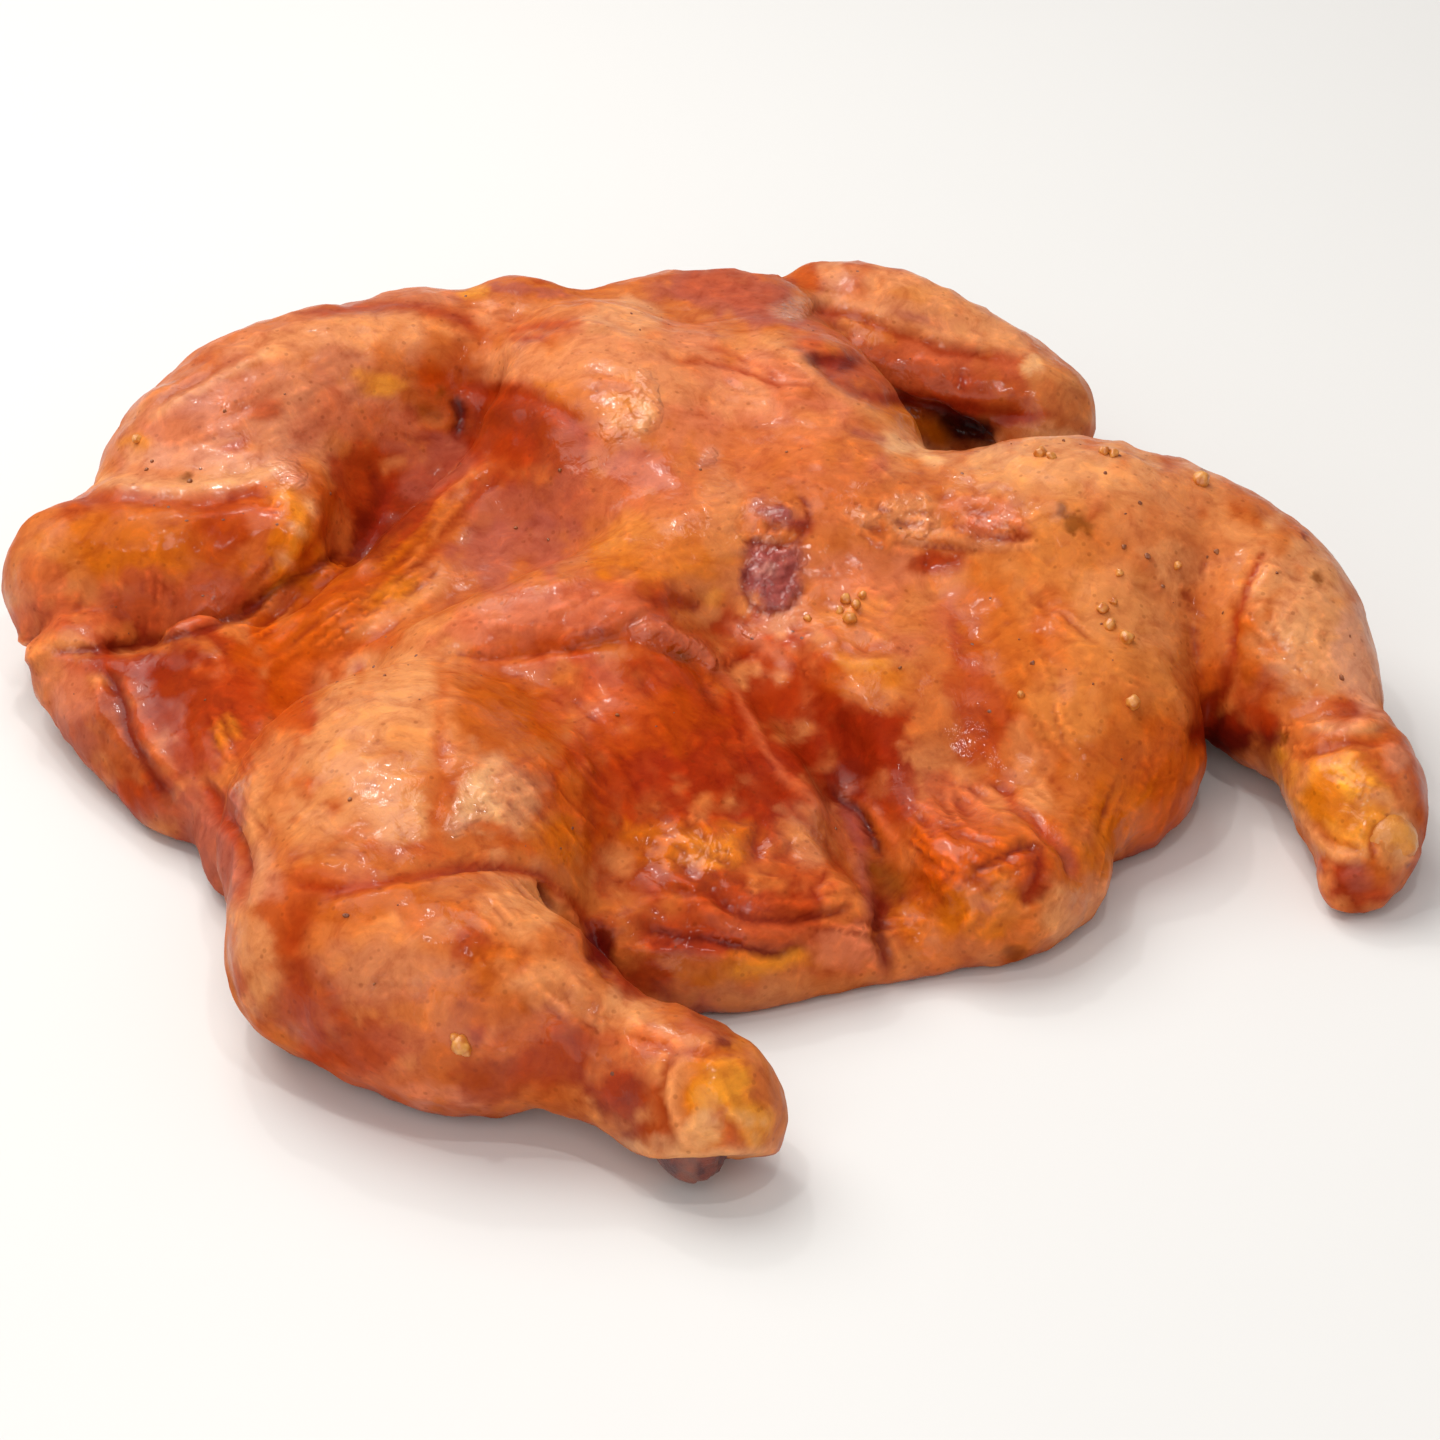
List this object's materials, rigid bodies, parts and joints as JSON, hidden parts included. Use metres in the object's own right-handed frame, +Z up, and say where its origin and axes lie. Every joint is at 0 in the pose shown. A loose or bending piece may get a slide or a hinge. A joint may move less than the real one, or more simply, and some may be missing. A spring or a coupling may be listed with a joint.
{
  "type": "barbecue spatchcock chicken",
  "caption": "Roast chicken opened flat, breast up, glazed with barbecue sauce: lobed breast, folded wings, thighs and drumsticks with cut hocks and bone ends, on a flat underside",
  "frame": {"origin": "Under the middle of the bounding box, on the surface that the bird rests on", "axes": "+Z up out of the breast, the legs point toward -Y and the neck end toward +Y, the bird's left side is +X"},
  "size_m": [0.2796, 0.2976, 0.0629],
  "materials": {
    "bird": "glazed roast skin",
    "shank_bone_right": "moist cut bone",
    "shank_bone_left": "moist cartilage"
  },
  "bodies": {
    "root": {"bird": "bird", "shank_bone_right": "shank_bone_right", "shank_bone_left": "shank_bone_left"}
  },
  "joints": []
}
